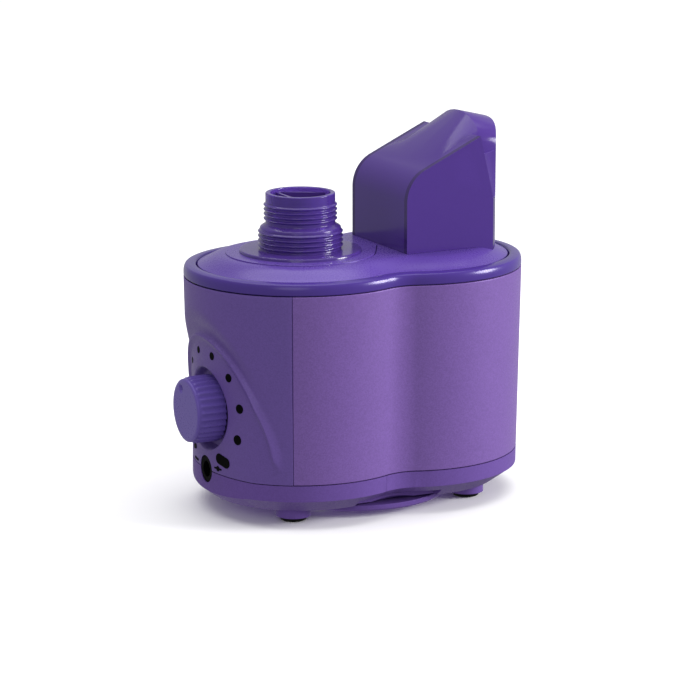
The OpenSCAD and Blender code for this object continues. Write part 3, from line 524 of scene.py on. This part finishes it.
def makeRim():
    low, high = plan["lidSeamZ"] + seam, plan["rimZ"]
    width, skirt = rim["width"], plan["wall"] + rim["skirtGap"]
    ledge, foot = low + rim["ledge"], low - rim["skirtDrop"]
    inside = -skirt - rim["skirtT"]
    section = [
        (0, low, 0.5 * mm), (0, high - rim["shoulderDrop"], 2.2 * mm),
        (-rim["crestIn"], high, 1.6 * mm),
        (-width + rim["innerIn"], high - rim["innerDrop"], 0.4 * mm),
        (-width, high - rim["edgeDrop"], 0), (-width, ledge, 0),
        (inside, ledge, 0), (inside, foot, 0), (-skirt, foot, 0), (-skirt, low, 0)]
    bm = bmesh.new()
    sweepPlan(bm, section)
    addPiece("lidRim", bm, "lid", "rim", ("lid_rim",), moveX=centreX)


cover = {
    "edgeIn": 5.13 * mm,      # from the body's outline to the cover's edge
    "crownIn": 15 * mm,
    "thickness": 2.4 * mm,
    "crownSteps": 14,
    "crownEase": 1.15,
    "crownDrop": 0.4 * mm,     # the crown starts this far below the rim
    "crownStart": 0.45 * mm,
    "edgeDrop": 0.9 * mm,
    "softIn": 0.12 * mm,
    "softDrop": 0.55 * mm,
    "roundSteps": 72,
    "near": 0.01 * mm,         # for picking edges by height
    "plateGap": 0.25 * mm,
    "ductR": 15.3 * mm,
    "wellR": 19.5 * mm,
    "seatDepth": 1.15 * mm,
}
plateLow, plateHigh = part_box("neck_plate")
plate = {
    "axisX": middleOf("bottle_neck", 0) - centreX,
    "roundR": (plateHigh.y - plateLow.y) / 2,
    "tailR": 4 * mm,
    "roundSteps": 60,
    "tailSteps": 12,
}
plate["tailX"] = plateHigh.x - centreX - plate["axisX"] - plate["tailR"]


def plateLoop(bm, grow, z):
    # outline of the neck plate: a round end and a narrow tail
    big, small = plate["roundR"] + grow, plate["tailR"] + grow
    lean = acos((big - small) / plate["tailX"])
    x = plate["axisX"]
    first = bm.verts.new((x + big * cos(lean), big * sin(lean), z))
    around = bmesh.ops.spin(bm, geom=[first], cent=(x, 0, z), axis=(0, 0, 1),
                            angle=2 * pi - 2 * lean, steps=plate["roundSteps"])
    tailX = x + plate["tailX"]
    tip = bm.verts.new((tailX + small * cos(lean), -small * sin(lean), z))
    end = bmesh.ops.spin(bm, geom=[tip], cent=(tailX, 0, z), axis=(0, 0, 1),
                         angle=2 * lean, steps=plate["tailSteps"])
    bm.edges.new((around["geom_last"][0], tip))
    bm.edges.new((end["geom_last"][0], first))
    return connectedEdges(first)


def connectedEdges(vert):
    # every edge of the wire that the vertex is on
    found, queue = set(), [vert]
    while queue:
        for edge in queue.pop().link_edges:
            if edge not in found:
                found.add(edge)
                queue += edge.verts
    return list(found)


def circleLoop(bm, x, r, z, steps):
    verts = bmesh.ops.create_circle(bm, cap_ends=False, radius=r, segments=steps,
                                    matrix=Matrix.Translation((x, 0, z)))["verts"]
    return connectedEdges(verts[0])


def makeCover():
    rimZ, topZ, t = plan["rimZ"], plan["coverZ"], cover["thickness"]
    edgeIn, crownIn, steps = cover["edgeIn"], cover["crownIn"], cover["crownSteps"]
    near = cover["near"]
    section = [(-edgeIn, rimZ - t), (-edgeIn, rimZ - cover["edgeDrop"]),
               (-edgeIn - cover["softIn"], rimZ - cover["softDrop"])]
    low = rimZ - cover["crownDrop"]
    for i in range(steps + 1):
        share = i / steps
        inset = edgeIn + cover["crownStart"] + (crownIn - edgeIn) * share
        rise = sin(pi / 2 * share) ** cover["crownEase"]
        section.append((-inset, low + (topZ - low) * rise))
    bm = bmesh.new()
    lobeX, lobeR = plan["lobeX"], plan["lobeR"]
    chain = [bm.verts.new((-lobeX - lobeR - out, 0, z)) for out, z in section]
    for a, b in zip(chain, chain[1:]):
        bm.edges.new((a, b))
    spinPlan(bm, bm.verts[:] + bm.edges[:])
    bmesh.ops.remove_doubles(bm, verts=bm.verts[:], dist=weld)
    outline = [e for e in bm.edges if e.is_boundary and e.verts[0].co.z > topZ - near]
    foot = [e for e in bm.edges if e.is_boundary and e.verts[0].co.z < rimZ - t + near]
    ductX = middleOf("mist_duct", 0) - centreX
    seat = plateLoop(bm, cover["plateGap"], topZ)
    duct = circleLoop(bm, ductX, cover["ductR"], topZ, cover["roundSteps"])
    bmesh.ops.triangle_fill(bm, use_beauty=True, edges=outline + seat + duct)
    # the plate's seat, the well under it and the duct's rim
    grown = bmesh.ops.extrude_edge_only(bm, edges=seat)["geom"]
    ledge = [g for g in grown if isinstance(g, bmesh.types.BMEdge) and g.is_boundary]
    bmesh.ops.translate(bm, verts=list({v for e in ledge for v in e.verts}),
                        vec=(0, 0, -cover["seatDepth"]))
    well = circleLoop(bm, plate["axisX"], cover["wellR"], topZ - cover["seatDepth"],
                      cover["roundSteps"])
    bmesh.ops.triangle_fill(bm, use_beauty=True, edges=ledge + well)
    underZ = topZ - t
    for loop in (well, duct):
        grown = bmesh.ops.extrude_edge_only(bm, edges=loop)["geom"]
        for g in grown:
            if isinstance(g, bmesh.types.BMVert):
                g.co.z = underZ
    hems = [e for e in bm.edges if e.is_boundary and abs(e.verts[0].co.z - underZ) < near]
    grown = bmesh.ops.extrude_edge_only(bm, edges=foot)["geom"]
    inner = [g for g in grown if isinstance(g, bmesh.types.BMEdge) and g.is_boundary]
    shrink = (lobeR - crownIn - t) / (lobeR - edgeIn)
    for v in {v for e in inner for v in e.verts}:
        side = -lobeX if v.co.x < 0 else lobeX
        v.co = (side + (v.co.x - side) * shrink, v.co.y * shrink, underZ)
    bmesh.ops.triangle_fill(bm, use_beauty=True, edges=hems + inner)
    tidyShell(bm)
    addPiece("topCover", bm, "lid", "cover", ("top_cover",), moveX=centreX, sharp=32)


makeBodyWall()
makeRim()
makeCover()
softCopy("base_tray", "baseTray", "housing", "base", 0.4 * mm)
softCopy("intake_cover", "intakeCover", "housing", "base", 0.3 * mm)
softCopy("neck_plate", "neckPlate", "neck", "cover", 0.25 * mm)
softCopy("rubber_feet", "rubberFeet", "housing", "rubber", 0.3 * mm)
hood = softCopy("mist_hood", "mistHood", "hood", "clear_violet", 0.9 * mm)
hood.data.materials[0] = materials["clearHood"]
print("body and lid made")

knobLow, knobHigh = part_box("dial_knob")
panel = {
    "dialZ": (knobLow.z + knobHigh.z) / 2,
    "archHalf": 33.6 * mm,
    "archBaseZ": 22 * mm,
    "archTopZ": 66.8 * mm,
    "coveHalf": 37 * mm,
    "coveTopZ": 78 * mm,
    "faceDepth": 4 * mm,
    "faceBulge": 13 * mm,     # how much rounder the lobe is than the face
    "dishR": 14 * mm,
    "dishLip": 1.8 * mm,
    "dishStart": 0.3 * mm,    # the dish's wall starts this far inside its radius
    "dishGap": 0.8 * mm,      # behind the knob
    "lip": 1.3 * mm,          # height of the raised edge of the arch
    "lipWidth": 1.1 * mm,
    "lipInside": 1.2,         # the edge falls off slowly inside the arch and fast outside it
    "lipOutside": 0.4,
    "lipFootZ": 21 * mm,      # it fades in above this height
    "lipFade": 6 * mm,
    "coveEase": 1.2,
    "edgeSunk": 0.3 * mm,
    "inletR": 5.05 * mm,
    "notchTurn": 66,          # degrees each side of the top of the inlet
    "notchStep": 11,
    "bushR": 3.7 * mm,
    "sidePoints": 44,
    "thickness": 1.8 * mm,
    "searchSteps": 24,
}
# Where the rings of the front panel run. Offsets are in mm, shares are of the way to the next edge.
rings = {
    "dish": (9, 12.6),
    "dishEdge": (-0.3, 0, 0.25, 0.5, 0.75, 1, 1.3, 1.6, 2),
    "face": (0.2, 0.4, 0.6, 0.8, 1),
    "archIn": 2.6,
    "archEdge": (-1.8, -1.2, -0.7, -0.3, 0, 0.3, 0.7, 1.2, 1.8),
    "cove": (0.12, 0.25, 0.4, 0.55, 0.7, 0.85, 1),
    "wall": (0.3, 0.6, 0.9),
    "hem": 0.3,
    "gap": 0.1,
}


def wallX(y, z):
    fall = (plan["lidSeamZ"] - z) / (plan["lidSeamZ"] - plan["baseSeamZ"])
    r = plan["lobeR"] - plan["lean"] * fall
    return -plan["lobeX"] - sqrt(r * r - y * y)


def faceX(y):
    r = plan["lobeR"] + panel["faceBulge"]
    return -plan["lobeX"] - plan["lobeR"] + panel["faceDepth"] + r - sqrt(r * r - y * y)


def archLevel(y, z, half, topZ):
    # 1 on the arch's line, less inside it
    up = max(0, z - panel["archBaseZ"])
    return hypot(y / half, up / (topZ - panel["archBaseZ"]))


def panelX(y, z):
    outside = wallX(y, z)
    sunk = max(outside, faceX(y))
    inArch = archLevel(y, z, panel["archHalf"], panel["archTopZ"])
    inCove = archLevel(y, z, panel["coveHalf"], panel["coveTopZ"])
    fade = smooth((z - panel["lipFootZ"]) / panel["lipFade"])
    away = (inArch - 1) * panel["archHalf"]
    width = panel["lipWidth"] * panel["lipInside" if away < 0 else "lipOutside"]
    facing = sqrt(1 - (y / plan["lobeR"]) ** 2)
    lip = panel["lip"] / facing * fade * exp(-(away / width) ** 2)
    if inArch <= 1:
        x = sunk - lip
    elif inCove < 1:
        share = (inArch - 1) / (inArch - inCove)
        x = sunk + (outside - sunk) * smooth(share) ** panel["coveEase"] - lip * (1 - share)
    else:
        x = outside
    fromDial = hypot(y, z - panel["dialZ"])
    floorX = knobHigh.x - centreX + panel["dishGap"]
    rise = smooth((fromDial - panel["dishR"] + panel["dishStart"]) / panel["dishLip"])
    return floorX + (x - floorX) * rise


def panelEdge():
    # points round the panel's edge, with the inlet's notch in the bottom
    lowZ, highZ = plan["baseSeamZ"] + seam, plan["lidSeamZ"]
    count = panel["sidePoints"]
    notch = panel["inletR"]

    def halfWidth(z):
        fall = (highZ - z) / (highZ - plan["baseSeamZ"])
        return (plan["lobeR"] - plan["lean"] * fall) * sin(plan["panelAngle"])

    edge = []
    for i in range(count):
        z = lowZ + (highZ - lowZ) * i / count
        edge.append((halfWidth(z), z))
    for i in range(count):
        edge.append((halfWidth(highZ) * (1 - 2 * i / count), highZ))
    for i in range(count):
        z = highZ + (lowZ - highZ) * i / count
        edge.append((-halfWidth(z), z))
    flat = count // 3
    for i in range(flat):
        edge.append((-halfWidth(lowZ) + (halfWidth(lowZ) - notch) * i / (flat - 1), lowZ))
    for a in range(-panel["notchTurn"], panel["notchTurn"] + 1, panel["notchStep"]):
        edge.append((notch * sin(radians(a)), plan["baseSeamZ"] + notch * cos(radians(a))))
    for i in range(flat):
        edge.append((notch + (halfWidth(lowZ) - notch) * i / flat, lowZ))
    return edge


def crossing(direction, half, topZ, far):
    # how far along a line from the dial's centre the arch's line is
    low, high = 0, far
    for step in range(panel["searchSteps"]):
        t = (low + high) / 2
        inside = archLevel(direction.x * t, panel["dialZ"] + direction.y * t, half, topZ) < 1
        low, high = (t, high) if inside else (low, t)
    return low


def makeFrontPanel():
    edge = panelEdge()
    centre = Vector((0, panel["dialZ"]))
    rays = []
    for spot in edge:
        line = Vector(spot) - centre
        far = line.length
        way = line.normalized()
        arch = crossing(way, panel["archHalf"], panel["archTopZ"], far)
        cove = crossing(way, panel["coveHalf"], panel["coveTopZ"], far)
        stops = [panel["bushR"]] + [d * mm for d in rings["dish"]]
        stops += [panel["dishR"] + d * mm for d in rings["dishEdge"]]
        inner = stops[-1]
        stops += [inner + (arch - rings["archIn"] * mm - inner) * f for f in rings["face"]]
        stops += [arch + d * mm for d in rings["archEdge"]]
        inner = stops[-1]
        stops += [inner + (max(cove, inner) - inner) * f for f in rings["cove"]]
        inner = stops[-1]
        stops += [inner + (far - inner) * f for f in rings["wall"]]
        stops += [far - rings["hem"] * mm, far]
        # rings keep apart, and close up where the foot cuts them off
        for i in range(1, len(stops) - 1):
            stops[i] = max(stops[i], stops[i - 1] + rings["gap"] * mm)
        for i in reversed(range(len(stops) - 1)):
            stops[i] = min(stops[i], stops[i + 1] - rings["gap"] * mm)
        rays.append((way, stops))
    bm = bmesh.new()
    bmesh.ops.create_circle(bm, cap_ends=False, radius=panel["bushR"], segments=len(edge))
    ray = bm.verts.layers.int.new("ray")
    bm.verts.ensure_lookup_table()
    loop = bm.verts[:]
    walk, previous = loop[0], None
    for i in range(len(edge)):          # number the circle's points in order
        walk[ray] = i
        beside = [e.other_vert(walk) for e in walk.link_edges]
        previous, walk = walk, [v for v in beside if v is not previous][0]

    def settle(verts, ring):
        for v in verts:
            way, stops = rays[v[ray]]
            y, z = way.x * stops[ring], panel["dialZ"] + way.y * stops[ring]
            sunk = panel["edgeSunk"] if ring == len(stops) - 1 else 0
            v.co = (panelX(y, z) + sunk, y, z)

    settle(loop, 0)
    edges = bm.edges[:]
    for ring in range(1, len(rays[0][1])):
        grown = bmesh.ops.extrude_edge_only(bm, edges=edges)["geom"]
        edges = [g for g in grown if isinstance(g, bmesh.types.BMEdge) and g.is_boundary]
        verts = [g for g in grown if isinstance(g, bmesh.types.BMVert)]
        settle(verts, ring)
    bmesh.ops.recalc_face_normals(bm, faces=bm.faces[:])
    if sum(f.normal.x * f.calc_area() for f in bm.faces) > 0:
        bmesh.ops.reverse_faces(bm, faces=bm.faces[:])
    addPiece("frontPanel", bm, "housing", "panel", ("front_panel",), moveX=centreX,
             solid=panel["thickness"], sharp=60)


makeFrontPanel()
print("front panel made")

knob = {
    "radius": (knobHigh.z - knobLow.z) / 2,
    "ribs": 30,
    "ribDepth": 0.7 * mm,
    "stepsPerRib": 10,
    "dimpleR": 1.7 * mm,
    "dimpleAt": 8.3 * mm,
    "dimpleAngle": radians(27),
    "dimpleDepth": 1.2 * mm,
    "dimpleRound": 1.7,
    "ribZone": 1.2 * mm,       # how far in from the radius the ribs reach
    "ribStart": 1.2 * mm,
    "ribEase": 1.4,
    "faceDeep": 0.2 * mm,
    "hubR": 4.6 * mm,
    "hubShort": 0.6 * mm,
    "boreR": 3 * mm,
    "boreEnd": 3 * mm,
    "wallT": 3 * mm,
    "faceT": 2.4 * mm,
    "flatR": 2.8 * mm,
    "faceStep": 0.4,           # rings across the face, in mm
    # the outside from the face back: how far in from the radius, and how deep, in mm
    "skin": ((0.95, 0.08), (0.72, 0.3), (0.62, 0.65), (0.64, 1.1), (0.7, 1.6), (0.74, 2.2),
             (0.7, 5.5)),
}


def makeKnob():
    r, length = knob["radius"], knobHigh.x - knobLow.x
    inside, hub, bore = r - knob["wallT"], knob["hubR"], knob["boreR"]
    hubEnd = length - knob["hubShort"]
    profile = [(0, 0, 0), (knob["flatR"], 0, 0)]
    profile += [(n * knob["faceStep"] * mm, 0, 0) for n in range(14, 27)]
    profile += [(r - inward * mm, deep * mm, 0) for inward, deep in knob["skin"]]
    profile += [
        (r - 0.65 * mm, length - 0.3 * mm, 0), (r - 0.95 * mm, length, 0), (inside, length, 0),
        (inside, knob["faceT"], 0), (hub, knob["faceT"], 0), (hub, hubEnd, 0), (bore, hubEnd, 0),
        (bore, knob["boreEnd"], 0), (0, knob["boreEnd"], 0)]
    centre = Vector((knobLow.x, 0, panel["dialZ"]))
    bm = bmesh.new()
    lathe(bm, profile, centre, "X", knob["ribs"] * knob["stepsPerRib"])
    bmesh.ops.recalc_face_normals(bm, faces=bm.faces[:])
    angle = knob["dimpleAngle"]
    dimple = Vector((0, sin(angle), cos(angle))) * knob["dimpleAt"]
    for v in bm.verts:
        h, y, z = v.co - centre
        out = hypot(y, z)
        if out > r - knob["ribZone"]:
            wave = 0.5 + 0.5 * cos(knob["ribs"] * atan2(y, z))
            start = smooth((h - knob["ribStart"]) / knob["ribStart"])
            rise = knob["ribDepth"] * wave ** knob["ribEase"] * start
            v.co.y += rise * y / out
            v.co.z += rise * z / out
        apart = hypot(y - dimple.y, z - dimple.z)
        if h < knob["faceDeep"] and apart < knob["dimpleR"]:
            bowl = smooth(knob["dimpleRound"] * (1 - apart / knob["dimpleR"]))
            v.co.x += knob["dimpleDepth"] * bowl
    addPiece("dialKnob", bm, "dial", "knob", ("dial_knob",), sharp=50)


makeKnob()
print("dial knob made")

neck = {
    "axisX": middleOf("bottle_neck", 0),
    "flangeR": 22.5 * mm,
    "collarR": 14.9 * mm,
    "neckR": 12.8 * mm,
    "boreR": 11 * mm,
    "spigotR": 12.6 * mm,
    "holeR": 5.5 * mm,
    "flangeZ": plan["coverZ"] + 0.4 * mm,
    "flangeT": 1.2 * mm,
    "collarTopZ": plan["coverZ"] + 11 * mm,
    "ridge": 0.7 * mm,
    "pitch": 1.7 * mm,
    "ridges": 4,
    "ridgeRise": 0.45 * mm,    # heights up one ridge
    "ridgeFall": 0.75 * mm,
    "ridgeEnd": 1.2 * mm,
    "collarRidgesUp": 0.8 * mm,
    "neckRidgesUp": 1.2 * mm,
    "shoulderDrop": 1.3 * mm,
    "floorT": 2 * mm,
    "steps": 128,
}


def makeNeck():
    low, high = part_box("bottle_neck")
    foot, top = neck["flangeZ"], high.z
    flangeTop, shoulder = foot + neck["flangeT"], neck["collarTopZ"]

    def ridgeRun(r, z):
        run = []
        crest = r + neck["ridge"]
        for i in range(neck["ridges"]):
            z0 = z + i * neck["pitch"]
            run += [(r, z0, 0.12 * mm), (crest, z0 + neck["ridgeRise"], 0.18 * mm),
                    (crest, z0 + neck["ridgeFall"], 0.18 * mm),
                    (r, z0 + neck["ridgeEnd"], 0.12 * mm)]
        return run

    floorZ = low.z + neck["floorT"]
    profile = [
        (neck["holeR"], low.z, 0), (neck["spigotR"], low.z, 0.4 * mm), (neck["spigotR"], foot, 0),
        (neck["flangeR"], foot, 0),
        (neck["flangeR"] - 0.2 * mm, flangeTop - 0.1 * mm, 0.5 * mm),
        (neck["collarR"], flangeTop, 0.3 * mm),
        *ridgeRun(neck["collarR"], flangeTop + neck["collarRidgesUp"]),
        (neck["collarR"], shoulder - neck["shoulderDrop"], 0.5 * mm),
        (neck["neckR"], shoulder, 0.3 * mm),
        *ridgeRun(neck["neckR"], shoulder + neck["neckRidgesUp"]), (neck["neckR"], top, 0.4 * mm),
        (neck["boreR"], top, 0.4 * mm), (neck["boreR"], floorZ, 0), (neck["holeR"], floorZ, 0)]
    bm = bmesh.new()
    lathe(bm, profile, Vector((neck["axisX"], 0, 0)), "Z", neck["steps"])
    bmesh.ops.recalc_face_normals(bm, faces=bm.faces[:])
    piece = addPiece("bottleNeck", bm, "neck", "clear_violet", ("bottle_neck",), sharp=50)
    piece.data.materials[0] = materials["clearNeck"]


makeNeck()
print("bottle neck made")

# the CAD nodes that stay get the finish that their record names
for part in frame["record"]["subparts"]:
    node = frame["nodes"][part["node"]]
    if not node.material_slots:
        node.data.materials.append(None)
    for place in node.material_slots:
        place.material = materials[part["material_slot"]]
print("CAD nodes finished")
